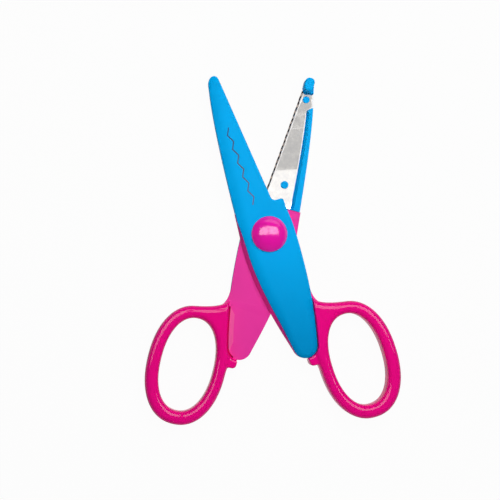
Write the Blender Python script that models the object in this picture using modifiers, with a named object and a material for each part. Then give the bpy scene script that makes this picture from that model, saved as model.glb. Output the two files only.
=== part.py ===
"""Decorative edge scissors: two moulded halves with stamped steel blades, riveted at one pivot.

Each half is modelled in its own frame: +Y to the tip, +X to the cutting edge and the finger loop,
+Z outward, with z = 0 on the plane where the halves meet and the pivot on the Z axis.
"""
import math

import bmesh
import bpy
import numpy as np
from mathutils import Matrix, Vector

MM = 0.001

# Pose and clearances
OPEN_ANGLE = math.radians(31.2)
FIT = 0.2 * MM
PARTING_GAP = 0.15 * MM

# Cutting edge: a straight line beside the pivot, leaning away from the loop
EDGE_OFFSET = 5.9 * MM
EDGE_LEAN = math.radians(6.1)
TOOTH_PITCH = 4.9 * MM
TOOTH_HEIGHT = 1.7 * MM
TOOTH_CLEARANCE = 0.3 * MM

# Blade: sheet steel, its top end, and the eye round the rivet
SHEET = 0.5 * MM
BLADE_TOP_Y = 54.4 * MM
FLANGE_GAP = 1.8 * MM
EYE_WALL = 3.4 * MM

# Leaf outline, shared by the cover and the arm under it
FRONT_TIP_SOLID = 5.0 * MM
FRONT_TIP_WIDTH = 4.5 * MM
BACK_TIP_SOLID = 3.2 * MM
BACK_TIP_WIDTH = 3.4 * MM
TIP_ROUND = 2.9 * MM
LEAF_OUTER = 10.2 * MM
LEAF_INNER = 9.5 * MM
SHOULDER_Y = 11.2 * MM
SHOULDER_X = 8.4 * MM
SHOULDER_ROUND = 1.0 * MM
LEAF_END_X = 0.5 * MM
LEAF_END_Y = -42.7 * MM
LEAF_END_RADIUS = 4.5 * MM
LEAF_TAPER = math.radians(13.9)

# Cover: its thickness, its outer wall, stakes through the blade, pegs into the arm, and tip post
COVER_THICKNESS = 2.0 * MM
COVER_ROUND = 1.3 * MM
ROOT_WALL = 3.1 * MM
TIP_WALL = 1.9 * MM
TIP_LIP = 6.2 * MM
TIP_LIP_RUN = 1.6 * MM
STAKE_RADIUS = 0.8 * MM
STAKE_HEAD_RADIUS = 1.4 * MM
STAKE_HEAD = 0.4 * MM
TIP_STAKE_DROP = 2.7 * MM
TIP_STAKE_INSET = 2.2 * MM
ROOT_STAKE_RISE = 8.2 * MM
ROOT_STAKE_INSET = 5.5 * MM
PEG_RADIUS = 1.6 * MM
PEG_LENGTH = 1.2 * MM
PEG_DROP = 18.0 * MM
PEG_END_RISE = 3.7 * MM
POST_LENGTH = 4.3 * MM
POST_WIDTH = 3.5 * MM
POST_OVERHANG = 0.8 * MM
POST_DROP = 0.6 * MM
POST_ROUND = 0.7 * MM

# Finger loop, placed by its inner limb and its top
LIMB_X = 3.3 * MM
LOOP_TOP_Y = -31.6 * MM
LOOP_HALF_WIDTH = 9.7 * MM
LOOP_HALF_LENGTH = 17.1 * MM
LOOP_SQUARENESS = 2.2
RING_WIDTH = 4.7 * MM
RING_HALF_DEPTH = 4.4 * MM
WEB_RISE = 10.6 * MM
STOP_LENGTH = 3.4 * MM
STOP_WIDTH = 4.4 * MM
STOP_ROUND = 1.5 * MM
STOP_HALF_DEPTH = 3.4 * MM

# Pivot stack
RIVET_RADIUS = 2.0 * MM
RIVET_HEAD = 1.0 * MM
RIVET_HEAD_STEP = 0.3 * MM
CLINCH = 0.4 * MM
CLINCH_LIP = 1.2 * MM
WASHER = 0.35 * MM
WASHER_GAP = 0.4 * MM
RECESS_WEB = 0.6 * MM
SKIRT = 0.8 * MM
DOME_RADIUS = 6.5 * MM
DOME_RISE = 3.0 * MM
DOME_RIM = 0.5 * MM
DOME_LIP = 0.9 * MM
CAP_ROOF = 0.55 * MM
CAP_FACE_ROUND = 0.3 * MM

# How far each curve's handles reach, as a part of its run
SIDE_LEAN = 0.03
SIDE_EASE = (0.28, 0.30)
LOWER_EASE = (0.32, 0.36)
INNER_EASE = (0.28, 0.40)
TIP_EASE = (1.0, 1.3)
TIP_LEAN = 0.1
WEB_EASE = (0.6, 0.65)
WEB_LIFT = 0.06
WEB_ANGLE = math.radians(98)
RING_ROUNDING = 0.46
POST_CORNER = 0.45

# Fineness of the curves
CURVE_STEPS = 9
LOOP_STEPS = 48
TURN_STEPS = 40

# Layers, outward from the parting plane: the flats clear the other blade's teeth and the stake heads
STAKE_GAP = FIT / 2
BLADE_IN = TOOTH_HEIGHT / 2 - PARTING_GAP + TOOTH_CLEARANCE + STAKE_HEAD + STAKE_GAP
ARM_OUT = BLADE_IN + SHEET
COVER_IN = ARM_OUT + FIT
COVER_OUT = COVER_IN + COVER_THICKNESS
RECESS_FLOOR = COVER_IN + RECESS_WEB
PIVOT_STEP = FIT / 2
CLINCH_OUT = RECESS_FLOOR + WASHER + CLINCH + 2 * PIVOT_STEP
CAP_FACE = CLINCH_OUT + PIVOT_STEP + CAP_ROOF
PARTING_Z = max(RING_HALF_DEPTH, CAP_FACE)

# Places worked out from the sizes above
FRONT_TIP_Y = BLADE_TOP_Y + FRONT_TIP_SOLID
BACK_TIP_Y = BLADE_TOP_Y + BACK_TIP_SOLID
FLANGE_ROOT_Y = SHOULDER_Y + FLANGE_GAP
TIP_LIP_Y = BLADE_TOP_Y - TIP_LIP
PEG_SPOTS = ((0.0, -PEG_DROP), (LEAF_END_X, LEAF_END_Y + PEG_END_RISE))
LOOP_X = LIMB_X + RING_WIDTH + LOOP_HALF_WIDTH
LOOP_Y = LOOP_TOP_Y - RING_WIDTH - LOOP_HALF_LENGTH
WEB_Y = LOOP_TOP_Y + WEB_RISE
RING_ROUND = RING_ROUNDING * RING_WIDTH
RECESS_RADIUS = DOME_RADIUS - DOME_LIP
SKIRT_RADIUS = RECESS_RADIUS - FIT
WASHER_RADIUS = SKIRT_RADIUS - SKIRT - WASHER_GAP
RIVET_HEAD_RADIUS = WASHER_RADIUS - RIVET_HEAD_STEP
CLINCH_RADIUS = RIVET_RADIUS + CLINCH_LIP
EYE_RADIUS = RIVET_RADIUS + EYE_WALL
EDGE_ALONG = Vector((-math.sin(EDGE_LEAN), math.cos(EDGE_LEAN), 0.0))
EDGE_NORMAL = Vector((math.cos(EDGE_LEAN), math.sin(EDGE_LEAN), 0.0))


def clear_scene():
    for obj in list(bpy.data.objects):
        bpy.data.objects.remove(obj, do_unlink=True)


def new_collection(name):
    collection = bpy.data.collections.new(name)
    bpy.context.scene.collection.children.link(collection)
    return collection


def new_material(name, colour, roughness, metallic=0.0):
    material = bpy.data.materials.new(name)
    material.use_nodes = True
    shader = material.node_tree.nodes["Principled BSDF"]
    shader.inputs["Base Color"].default_value = (*colour, 1.0)
    shader.inputs["Roughness"].default_value = roughness
    shader.inputs["Metallic"].default_value = metallic
    return material


def bezier(start, lead, follow, end, steps=CURVE_STEPS):
    """Points of a cubic from start up to, but without, end; lead and follow are handle offsets."""
    p0, p3 = np.array(start), np.array(end)
    p1, p2 = p0 + np.array(lead), p3 + np.array(follow)
    points = []
    for t in np.linspace(0.0, 1.0, steps, endpoint=False):
        points.append((1 - t) ** 3 * p0 + 3 * (1 - t) ** 2 * t * p1 + 3 * (1 - t) * t * t * p2 + t ** 3 * p3)
    return [(float(x), float(y)) for x, y in points]


def arc(centre, radius, start, end, steps=CURVE_STEPS):
    """Points of an arc from the start angle up to, but without, the end angle."""
    angles = np.linspace(start, end, steps, endpoint=False)
    return [(centre[0] + radius * math.cos(a), centre[1] + radius * math.sin(a)) for a in angles]


def circle(centre, radius, steps=TURN_STEPS // 2):
    return arc(centre, radius, 0.0, 2 * math.pi, steps)


def rounded_rectangle(x_low, y_low, x_high, y_high, radius):
    points = []
    corners = ((x_high - radius, y_high - radius), (x_low + radius, y_high - radius),
               (x_low + radius, y_low + radius), (x_high - radius, y_low + radius))
    for index, corner in enumerate(corners):
        start = index * math.pi / 2
        points += arc(corner, radius, start, start + math.pi / 2 * 1.001, CURVE_STEPS // 2)
    return points


def edge_x(y):
    """Where the cutting edge lies at height y."""
    return (EDGE_OFFSET - y * math.sin(EDGE_LEAN)) / math.cos(EDGE_LEAN)


def outer_side(half):
    """The outer side of the leaf, from the tip down to its widest point beside the pivot."""
    start = (edge_x(half.tip_y) - half.tip_width, half.tip_y - TIP_ROUND / 2)
    end = (-LEAF_OUTER, 0.0)
    run = start[1] - end[1]
    lead = (-SIDE_LEAN * run, -SIDE_EASE[0] * run)
    follow = (0.0, SIDE_EASE[1] * run)
    return start, lead, follow, end


def wall(y):
    """The width of the cover's outer wall at height y, which tapers towards the tip."""
    return float(np.interp(y, (SHOULDER_Y, TIP_LIP_Y), (ROOT_WALL, TIP_WALL)))


def side_x(half, y, inset):
    """The outer side moved inward by inset, at height y."""
    points = np.array(bezier(*outer_side(half), steps=80))
    slope = np.gradient(points, axis=0)
    normal = np.stack([-slope[:, 1], slope[:, 0]], axis=1)
    normal /= np.linalg.norm(normal, axis=1)[:, None]
    moved = points + normal * inset
    return float(np.interp(y, moved[::-1, 1], moved[::-1, 0]))


def lower_leaf():
    """The leaf below the pivot: down the outer side, round the end and up the inner side."""
    taper_x, taper_y = math.sin(LEAF_TAPER), math.cos(LEAF_TAPER)
    end = (LEAF_END_X, LEAF_END_Y)
    reach = LEAF_END_RADIUS * taper_y
    drop = LEAF_END_RADIUS * taper_x
    end_outer = (LEAF_END_X - reach, LEAF_END_Y - drop)
    end_inner = (LEAF_END_X + reach, LEAF_END_Y - drop)
    run = -end_outer[1]
    follow = LOWER_EASE[1] * run
    lead = LOWER_EASE[0] * run
    points = bezier((-LEAF_OUTER, 0.0), (0.0, -lead), (-follow * taper_x, follow * taper_y), end_outer)
    points += arc(end, LEAF_END_RADIUS, math.pi + LEAF_TAPER, 2 * math.pi - LEAF_TAPER)
    lead = INNER_EASE[0] * run
    follow = INNER_EASE[1] * run
    points += bezier(end_inner, (lead * taper_x, lead * taper_y), (0.0, -follow), (LEAF_INNER, 0.0))
    return points


def leaf_outline(half):
    """The whole leaf: tip, outer side, lower end, inner side, shoulder, notch and cutting edge."""
    start, lead, follow, end = outer_side(half)
    tip = (edge_x(half.tip_y), half.tip_y)
    shoulder = (SHOULDER_X, SHOULDER_Y - SHOULDER_ROUND)
    notch = (edge_x(SHOULDER_Y) + SHOULDER_ROUND, SHOULDER_Y)
    foot = (edge_x(SHOULDER_Y + SHOULDER_ROUND), SHOULDER_Y + SHOULDER_ROUND)
    ease = SHOULDER_ROUND / 2
    lean = TIP_ROUND * TIP_LEAN
    points = bezier(tip, (-lean, TIP_ROUND * TIP_EASE[0]), (lean, TIP_ROUND * TIP_EASE[1]), start)
    points += bezier(start, lead, follow, end)
    points += lower_leaf()
    third = shoulder[1] / 3
    points += bezier((LEAF_INNER, 0.0), (0.0, third), (0.0, -third), shoulder, CURVE_STEPS // 2)
    points += bezier(shoulder, (0.0, ease), (ease, 0.0), (SHOULDER_X - SHOULDER_ROUND, SHOULDER_Y), 4)
    points += bezier(notch, (-ease, 0.0), (0.0, -ease), foot, 4)
    points.append(foot)
    return points


def arm_outline(half):
    """The leaf below the seam, where the handle's arm lies under the cover."""
    seam = SHOULDER_Y
    points = [(side_x(half, seam, 0.0), seam)]
    points += lower_leaf()
    points.append((LEAF_INNER, 0.0))
    points.append((SHOULDER_X, SHOULDER_Y - SHOULDER_ROUND))
    points.append((SHOULDER_X - SHOULDER_ROUND, seam))
    return points


def superellipse(half_width, half_length, start, end, steps):
    """Points of the loop's oval, from the start angle up to, but without, the end angle."""
    power = 2 / LOOP_SQUARENESS
    points = []
    for angle in np.linspace(start, end, steps, endpoint=False):
        cos, sin = math.cos(angle), math.sin(angle)
        x = LOOP_X + half_width * math.copysign(abs(cos) ** power, cos)
        y = LOOP_Y + half_length * math.copysign(abs(sin) ** power, sin)
        points.append((x, y))
    return points


def inner_side_x(y):
    """The leaf's inner side at height y, below the pivot."""
    points = np.array(lower_leaf() + [(LEAF_INNER, 0.0)])[2 * CURVE_STEPS:]
    return float(np.interp(y, points[:, 1], points[:, 0]))


def loop_outline():
    """The loop's outside with its web: from the arm over a fillet, round the oval and back to the arm."""
    half_width = LOOP_HALF_WIDTH + RING_WIDTH
    half_length = LOOP_HALF_LENGTH + RING_WIDTH
    oval = superellipse(half_width, half_length, WEB_ANGLE, -math.pi, LOOP_STEPS)
    root = (inner_side_x(WEB_Y), WEB_Y)
    drop = root[1] - oval[0][1]
    reach = oval[0][0] - root[0]
    points = bezier(root, (0.0, -WEB_EASE[0] * drop), (-WEB_EASE[1] * reach, WEB_LIFT * drop), oval[0])
    points += oval
    points.append((LOOP_X - half_width, LOOP_Y))
    points.append((LEAF_END_X + LEAF_END_RADIUS / 2, LEAF_END_Y))
    points.append((root[0] - RING_WIDTH, WEB_Y))
    return points


def blade_outline(half):
    """The flat of the blade: cutting edge, tip, outer side beside the cover's wall, and the pivot eye."""
    points = [(edge_x(FLANGE_ROOT_Y), FLANGE_ROOT_Y), (edge_x(BLADE_TOP_Y), BLADE_TOP_Y)]
    for y in np.linspace(BLADE_TOP_Y, TIP_LIP_Y + TIP_LIP_RUN / 2, CURVE_STEPS // 2):
        points.append((side_x(half, y, FIT), float(y)))
    for y in np.linspace(TIP_LIP_Y - TIP_LIP_RUN / 2, SHOULDER_Y, CURVE_STEPS):
        points.append((side_x(half, y, wall(y) + FIT), float(y)))
    points += arc((0.0, 0.0), EYE_RADIUS, math.pi, 2 * math.pi, 2 * CURVE_STEPS)
    points.append((EYE_RADIUS, 0.0))
    points.append((edge_x(SHOULDER_Y) - SHOULDER_ROUND, SHOULDER_Y))
    return points


def stake_spots():
    """Where the stakes go through the blade: near its tip and near its root, measured from the edge."""
    tip_y = BLADE_TOP_Y - TIP_STAKE_DROP
    root_y = SHOULDER_Y + ROOT_STAKE_RISE
    return (edge_x(tip_y) - TIP_STAKE_INSET, tip_y), (edge_x(root_y) - ROOT_STAKE_INSET, root_y)


def tray_outline(half):
    """The room for the blade in its cover: open past the cutting edge and past the outer edge at the tip."""
    clear = 2 * LEAF_OUTER
    points = [(clear, SHOULDER_Y - FIT), (clear, BLADE_TOP_Y + FIT), (-clear, BLADE_TOP_Y + FIT)]
    points.append((-clear, TIP_LIP_Y + TIP_LIP_RUN / 2 - FIT))
    points.append((side_x(half, TIP_LIP_Y + TIP_LIP_RUN / 2, 0.0), TIP_LIP_Y + TIP_LIP_RUN / 2 - FIT))
    for y in np.linspace(TIP_LIP_Y - TIP_LIP_RUN / 2 - FIT, SHOULDER_Y, CURVE_STEPS):
        points.append((side_x(half, y, wall(y)), float(y)))
    points.append((side_x(half, SHOULDER_Y, ROOT_WALL), SHOULDER_Y - FIT))
    return points


def teeth(sign):
    """The blade flange in its own plane: distance along the edge, and height above the parting plane."""
    start = EDGE_OFFSET * math.tan(EDGE_LEAN)
    low, high = (y / math.cos(EDGE_LEAN) - start for y in (FLANGE_ROOT_Y, BLADE_TOP_Y))

    def wave(along):
        """A triangle wave of the distance from the pivot, so the two edges nest at any angle."""
        turns = math.hypot(along, EDGE_OFFSET) / TOOTH_PITCH
        return sign * TOOTH_HEIGHT * (abs(2 * (turns - math.floor(turns)) - 1) - 0.5) + PARTING_GAP

    points = [(high, ARM_OUT), (low, ARM_OUT), (low, wave(low))]
    half_pitch = TOOTH_PITCH / 2
    first = math.ceil(math.hypot(low, EDGE_OFFSET) / half_pitch + 0.05)
    last = math.floor(math.hypot(high, EDGE_OFFSET) / half_pitch - 0.05)
    for count in range(first, last + 1):
        along = math.sqrt((count * half_pitch) ** 2 - EDGE_OFFSET ** 2)
        points.append((along, wave(along)))
    points.append((high, wave(high)))
    return points


def flat_solid(name, outlines, low, high, rounding=0.0, matrix=Matrix()):
    """A flat outline, with holes for the outlines after the first, made solid between two heights."""
    curve = bpy.data.curves.new(name, "CURVE")
    curve.dimensions = "2D"
    curve.fill_mode = "BOTH"
    curve.extrude = (high - low) / 2 - rounding
    curve.bevel_depth = rounding
    curve.offset = -rounding
    curve.bevel_resolution = 2
    for outline in outlines:
        spline = curve.splines.new("POLY")
        spline.points.add(len(outline) - 1)
        spline.use_cyclic_u = True
        for point, (x, y) in zip(spline.points, outline):
            point.co = (x, y, 0.0, 1.0)
    source = bpy.data.objects.new(name + "_outline", curve)
    bpy.context.scene.collection.objects.link(source)
    mesh = bpy.data.meshes.new_from_object(source.evaluated_get(bpy.context.evaluated_depsgraph_get()))
    mesh.transform(matrix @ Matrix.Translation((0.0, 0.0, (low + high) / 2)))
    bpy.data.objects.remove(source)
    weld(mesh)
    return bpy.data.objects.new(name, mesh)


def weld(mesh):
    work = bmesh.new()
    work.from_mesh(mesh)
    bmesh.ops.remove_doubles(work, verts=work.verts, dist=0.001 * MM)
    bmesh.ops.recalc_face_normals(work, faces=work.faces)
    work.to_mesh(mesh)
    work.free()


def rod(name, spot, radius, low, high):
    """A round bar along Z."""
    mesh = bpy.data.meshes.new(name)
    work = bmesh.new()
    place = Matrix.Translation((spot[0], spot[1], (low + high) / 2))
    bmesh.ops.create_cone(work, cap_ends=True, segments=TURN_STEPS // 2, depth=high - low, matrix=place,
                          radius1=radius, radius2=radius)
    work.to_mesh(mesh)
    work.free()
    return bpy.data.objects.new(name, mesh)


def box(name, x_low, y_low, z_low, x_high, y_high, z_high):
    mesh = bpy.data.meshes.new(name)
    work = bmesh.new()
    size = Matrix.Diagonal((x_high - x_low, y_high - y_low, z_high - z_low, 1.0))
    middle = Vector((x_low + x_high, y_low + y_high, z_low + z_high)) / 2
    bmesh.ops.create_cube(work, size=1.0, matrix=Matrix.Translation(middle) @ size)
    work.to_mesh(mesh)
    work.free()
    return bpy.data.objects.new(name, mesh)


def turned(name, profile):
    """A profile of radius and height, outer side from top to bottom, turned about Z."""
    mesh = bpy.data.meshes.new(name)
    work = bmesh.new()
    verts = [work.verts.new((radius, 0.0, height)) for radius, height in profile]
    for first, second in zip(verts, verts[1:]):
        work.edges.new((first, second))
    if profile[0][0] > 0:
        work.edges.new((verts[-1], verts[0]))
    work.to_mesh(mesh)
    work.free()
    obj = bpy.data.objects.new(name, mesh)
    screw = obj.modifiers.new("turn", "SCREW")
    screw.steps = TURN_STEPS
    screw.render_steps = TURN_STEPS
    screw.use_merge_vertices = True
    screw.merge_threshold = 0.001 * MM
    return obj


class Half:
    """One half of the scissors: its tip, the sense of its teeth, and the pivot empty that carries it."""

    def __init__(self, side, sign, tip_y, tip_width, rotation):
        self.side = side
        self.sign = sign
        self.tip_y = tip_y
        self.tip_width = tip_width
        self.pivot = bpy.data.objects.new(side + "_half_pivot", None)
        self.pivot.location = (0.0, 0.0, PARTING_Z)
        self.pivot.rotation_euler = rotation
        PARTS.objects.link(self.pivot)

    def part(self, obj, material):
        PARTS.objects.link(obj)
        obj.parent = self.pivot
        obj.data.materials.clear()
        obj.data.materials.append(material)
        obj.data.shade_smooth()
        obj.data.set_sharp_from_angle(angle=math.radians(35))
        return obj

    def apply(self, target, tool, operation):
        """Cut a tool from a part, or join the tool to it."""
        CUTTERS.objects.link(tool)
        tool.parent = self.pivot
        tool.hide_render = True
        tool.display_type = "WIRE"
        boolean = target.modifiers.new(tool.name, "BOOLEAN")
        boolean.operation = operation
        boolean.solver = "EXACT"
        boolean.object = tool

    def cut(self, target, tool):
        self.apply(target, tool, "DIFFERENCE")

    def join(self, target, tool):
        self.apply(target, tool, "UNION")


def make_cover(half):
    """The blue leaf: carries the blade in a tray behind an outer wall, and caps the handle's arm."""
    name = half.side + "_cover"
    rounding = min(COVER_ROUND, 0.7 * COVER_THICKNESS)
    depth = COVER_OUT + rounding
    cover = flat_solid(name, [leaf_outline(half)], PARTING_GAP - depth, COVER_OUT, rounding)
    half.part(cover, BLUE)
    reach = 2 * LEAF_OUTER - LEAF_END_Y + half.tip_y
    half.cut(cover, box(name + "_parting", -reach, -reach, -2 * depth, reach, reach, PARTING_GAP))
    half.cut(cover, box(name + "_arm_room", -reach, -reach, -depth, reach, SHOULDER_Y + FIT, COVER_IN))
    half.cut(cover, flat_solid(name + "_tray", [tray_outline(half)], -depth, COVER_IN))
    half.cut(cover, rod(name + "_bore", (0.0, 0.0), RIVET_RADIUS + FIT, -depth, 2 * COVER_OUT))
    half.cut(cover, rod(name + "_recess", (0.0, 0.0), RECESS_RADIUS, RECESS_FLOOR, 2 * COVER_OUT))
    root = (COVER_IN + COVER_OUT) / 2
    for index, spot in enumerate(PEG_SPOTS):
        half.join(cover, rod(f"{name}_peg_{index}", spot, PEG_RADIUS, COVER_IN - PEG_LENGTH, root))
    for index, spot in enumerate(stake_spots()):
        head_top = BLADE_IN - STAKE_GAP
        half.join(cover, rod(f"{name}_stake_{index}", spot, STAKE_RADIUS, head_top - STAKE_HEAD / 2, root))
        head_low = head_top - STAKE_HEAD
        half.join(cover, rod(f"{name}_stake_head_{index}", spot, STAKE_HEAD_RADIUS, head_low, head_top))
    return cover


def make_tip_post(half, cover):
    """The raised end of the back cover, which the front cover's edge closes against."""
    low = BLADE_TOP_Y + FIT
    high = low + POST_LENGTH
    right = edge_x(high) + POST_OVERHANG
    outline = rounded_rectangle(right - POST_WIDTH, low, right, high, POST_CORNER * POST_WIDTH)
    top = POST_DROP - COVER_OUT
    root = COVER_IN + COVER_THICKNESS / 2
    half.join(cover, flat_solid(cover.name + "_post", [outline], top, root, POST_ROUND))


def make_blade(half):
    """The stamped blade: a flat with an edge flange cut to a wave, and an eye round the rivet."""
    name = half.side + "_blade"
    holes = [circle(spot, STAKE_RADIUS + STAKE_GAP) for spot in stake_spots()]
    holes.append(circle((0.0, 0.0), RIVET_RADIUS + FIT))
    blade = flat_solid(name, [blade_outline(half)] + holes, BLADE_IN, ARM_OUT)
    half.part(blade, STEEL)
    axes = Matrix((EDGE_ALONG, (0.0, 0.0, 1.0), EDGE_NORMAL)).transposed().to_4x4()
    place = Matrix.Translation(EDGE_NORMAL * (EDGE_OFFSET - SHEET / 2)) @ axes
    half.join(blade, flat_solid(name + "_flange", [teeth(half.sign)], -SHEET / 2, SHEET / 2, matrix=place))


def make_handle(half):
    """The pink moulding: a round-edged finger loop on a flat arm, with the closing stop at its end."""
    name = half.side + "_handle"
    hole = superellipse(LOOP_HALF_WIDTH, LOOP_HALF_LENGTH, 2 * math.pi, 0.0, LOOP_STEPS)
    handle = flat_solid(name, [loop_outline(), hole], -RING_HALF_DEPTH, RING_HALF_DEPTH, RING_ROUND)
    half.part(handle, PINK)
    stop_low = LEAF_END_Y - LEAF_END_RADIUS - STOP_LENGTH
    stop = rounded_rectangle(PARTING_GAP, stop_low, PARTING_GAP + STOP_WIDTH, LEAF_END_Y, STOP_ROUND)
    half.join(handle, flat_solid(name + "_stop", [stop], -STOP_HALF_DEPTH, STOP_HALF_DEPTH, FIT))
    leaf = leaf_outline(half)
    clear = 2 * RING_HALF_DEPTH
    grown = flat_solid(name + "_cover_room", [leaf], ARM_OUT, clear, 0.0)
    grow(grown, FIT)
    half.cut(handle, grown)
    swept = flat_solid(name + "_sweep_room", [leaf], -clear, PARTING_GAP)
    grow(swept, 2 * FIT)
    half.cut(handle, swept)
    half.join(handle, flat_solid(name + "_arm", [arm_outline(half)], PARTING_GAP, ARM_OUT))
    pocket = flat_solid(name + "_eye_room", [blade_outline(half)], BLADE_IN - FIT, clear)
    grow(pocket, FIT)
    half.cut(handle, pocket)
    half.cut(handle, rod(name + "_bore", (0.0, 0.0), RIVET_RADIUS + FIT, -clear, clear))
    for index, spot in enumerate(PEG_SPOTS):
        floor = ARM_OUT - PEG_LENGTH - FIT
        half.cut(handle, rod(f"{name}_socket_{index}", spot, PEG_RADIUS + FIT, floor, clear))


def grow(obj, amount):
    """Move the side walls of a straight-sided solid outward."""
    work = bmesh.new()
    work.from_mesh(obj.data)
    work.normal_update()
    moves = {}
    for vert in work.verts:
        walls = [face.normal for face in vert.link_faces if abs(face.normal.z) < 0.5]
        if walls:
            total = sum(walls, Vector()).normalized()
            moves[vert] = total * amount / max(0.5, total.dot(walls[0]))
    for vert, move in moves.items():
        vert.co += move
    work.to_mesh(obj.data)
    work.free()


def washer_ring(low, dish):
    """A ring round the rivet, its inner edge raised by the dish."""
    inner = RIVET_RADIUS + FIT
    high = low + WASHER
    return [(WASHER_RADIUS, high), (WASHER_RADIUS, low), (inner, low + dish), (inner, high + dish)]


def cap_skirt(top, roof):
    """The snap skirt of a cap, inside the cover's recess, and the hollow under the cap's roof."""
    low = RECESS_FLOOR + FIT
    inner = SKIRT_RADIUS - SKIRT
    return [(SKIRT_RADIUS, top), (SKIRT_RADIUS, low), (inner, low), (inner, roof), (0.0, roof)]


def make_pivot(front, back):
    """The rivet with its washers, and the caps that snap into the covers over its ends."""
    seat = RECESS_FLOOR + PIVOT_STEP
    dish = WASHER / 4
    front.part(turned("front_spring_washer", washer_ring(seat, dish)), STEEL)
    back.part(turned("back_washer", washer_ring(seat, 0.0)), STEEL)
    head_low = seat + WASHER + dish + PIVOT_STEP
    head_high = head_low + RIVET_HEAD
    edge = RIVET_HEAD / 3
    clinch_in = CLINCH - CLINCH_OUT
    rivet = [(0.0, head_high), (RIVET_HEAD_RADIUS - edge, head_high), (RIVET_HEAD_RADIUS, head_high - edge),
             (RIVET_HEAD_RADIUS, head_low), (RIVET_RADIUS, head_low), (RIVET_RADIUS, clinch_in),
             (CLINCH_RADIUS, clinch_in), (CLINCH_RADIUS, -CLINCH_OUT), (0.0, -CLINCH_OUT)]
    axle = back.part(turned("pivot_rivet", rivet), STEEL)
    axle.parent = None
    axle.location.z = PARTING_Z
    base = COVER_OUT + PIVOT_STEP
    sphere = (DOME_RADIUS ** 2 + DOME_RISE ** 2) / (2 * DOME_RISE)
    dome = []
    for angle in np.linspace(0.0, math.asin(DOME_RADIUS / sphere), CURVE_STEPS):
        height = base + DOME_RIM + DOME_RISE - sphere * (1 - math.cos(angle))
        dome.append((sphere * math.sin(angle), height))
    dome.append((DOME_RADIUS, base))
    roof = max(head_high + FIT, base + DOME_RIM)
    front.part(turned("front_pivot_cap", dome + cap_skirt(base, roof)), PINK)
    flat = [(0.0, CAP_FACE), (SKIRT_RADIUS - CAP_FACE_ROUND, CAP_FACE)]
    flat += cap_skirt(CAP_FACE - CAP_FACE_ROUND, CLINCH_OUT + PIVOT_STEP)
    back.part(turned("back_pivot_cap", flat), PINK)


clear_scene()
PARTS = new_collection("decorative_edge_scissors")
CUTTERS = new_collection("cutters")
BLUE = new_material("cover_blue", (0.0, 0.40, 0.86), 0.35)
PINK = new_material("handle_pink", (0.74, 0.0, 0.21), 0.25)
STEEL = new_material("steel", (0.72, 0.72, 0.70), 0.25, 1.0)

FRONT = Half("front", 1, FRONT_TIP_Y, FRONT_TIP_WIDTH, (0.0, 0.0, OPEN_ANGLE / 2))
BACK = Half("back", -1, BACK_TIP_Y, BACK_TIP_WIDTH, (0.0, math.pi, -OPEN_ANGLE / 2))
for each in (FRONT, BACK):
    shell = make_cover(each)
    if each is BACK:
        make_tip_post(each, shell)
    make_blade(each)
    make_handle(each)
make_pivot(FRONT, BACK)
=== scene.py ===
"""Looks of a pair of decorative edge scissors, lying open on white.

Both halves are modelled in millimetres in one half's own frame: +Y to the tip, +X to the cutting edge
and the finger loop, +Z outward, with the pivot on the Z axis and z = 0 where the halves meet.
"""
import math

import bpy
import numpy as np
from mathutils import Matrix, Vector
from mathutils.geometry import interpolate_bezier


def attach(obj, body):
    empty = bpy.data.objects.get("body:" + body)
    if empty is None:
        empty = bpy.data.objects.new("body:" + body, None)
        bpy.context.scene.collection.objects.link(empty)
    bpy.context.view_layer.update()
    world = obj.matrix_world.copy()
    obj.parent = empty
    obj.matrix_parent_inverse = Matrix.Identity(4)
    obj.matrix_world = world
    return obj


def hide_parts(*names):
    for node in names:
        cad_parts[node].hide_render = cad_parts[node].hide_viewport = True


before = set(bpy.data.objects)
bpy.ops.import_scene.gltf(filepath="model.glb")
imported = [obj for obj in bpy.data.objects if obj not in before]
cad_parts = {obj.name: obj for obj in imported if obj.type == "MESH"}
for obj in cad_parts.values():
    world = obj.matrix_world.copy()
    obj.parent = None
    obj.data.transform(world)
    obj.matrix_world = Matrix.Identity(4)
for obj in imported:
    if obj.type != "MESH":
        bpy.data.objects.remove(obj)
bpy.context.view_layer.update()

# The pivot rivet and its two washers, turned and stamped from zinc-plated steel. They sit inside the
# buttons, where only a glint shows past the covers, so their solids stay and take a plated finish.
def new_finish(name, colour, roughness, metallic=0.0):
    material = bpy.data.materials.new(name)
    material.use_nodes = True
    shader = material.node_tree.nodes["Principled BSDF"]
    shader.inputs["Base Color"].default_value = (*colour, 1.0)
    shader.inputs["Roughness"].default_value = roughness
    shader.inputs["Metallic"].default_value = metallic
    return material, shader


def add_node(material, kind, **sockets):
    node = material.node_tree.nodes.new(kind)
    for name, value in sockets.items():
        node.inputs[name.replace("_", " ")].default_value = value
    return node


def wire(material, source, socket):
    material.node_tree.links.new(source, socket)


def object_place(material, stretch=(1.0, 1.0, 1.0), turn=0.0):
    """Object coordinates, stretched and turned about Z, for a grain that follows the piece."""
    place = add_node(material, "ShaderNodeTexCoord")
    mapping = add_node(material, "ShaderNodeMapping", Scale=stretch, Rotation=(0.0, 0.0, turn))
    wire(material, place.outputs["Object"], mapping.inputs["Vector"])
    return mapping.outputs["Vector"]


def spread(material, source, low, high, start=0.3, end=0.7):
    """A texture's value stretched to run from low to high."""
    ramp = add_node(material, "ShaderNodeMapRange", From_Min=start, From_Max=end, To_Min=low, To_Max=high)
    wire(material, source, ramp.inputs["Value"])
    return ramp.outputs["Result"]


def clouds(material, place, **settings):
    """A cloudy pattern."""
    noise = add_node(material, "ShaderNodeTexNoise", **settings)
    wire(material, place, noise.inputs["Vector"])
    return noise.outputs["Fac"]


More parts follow.
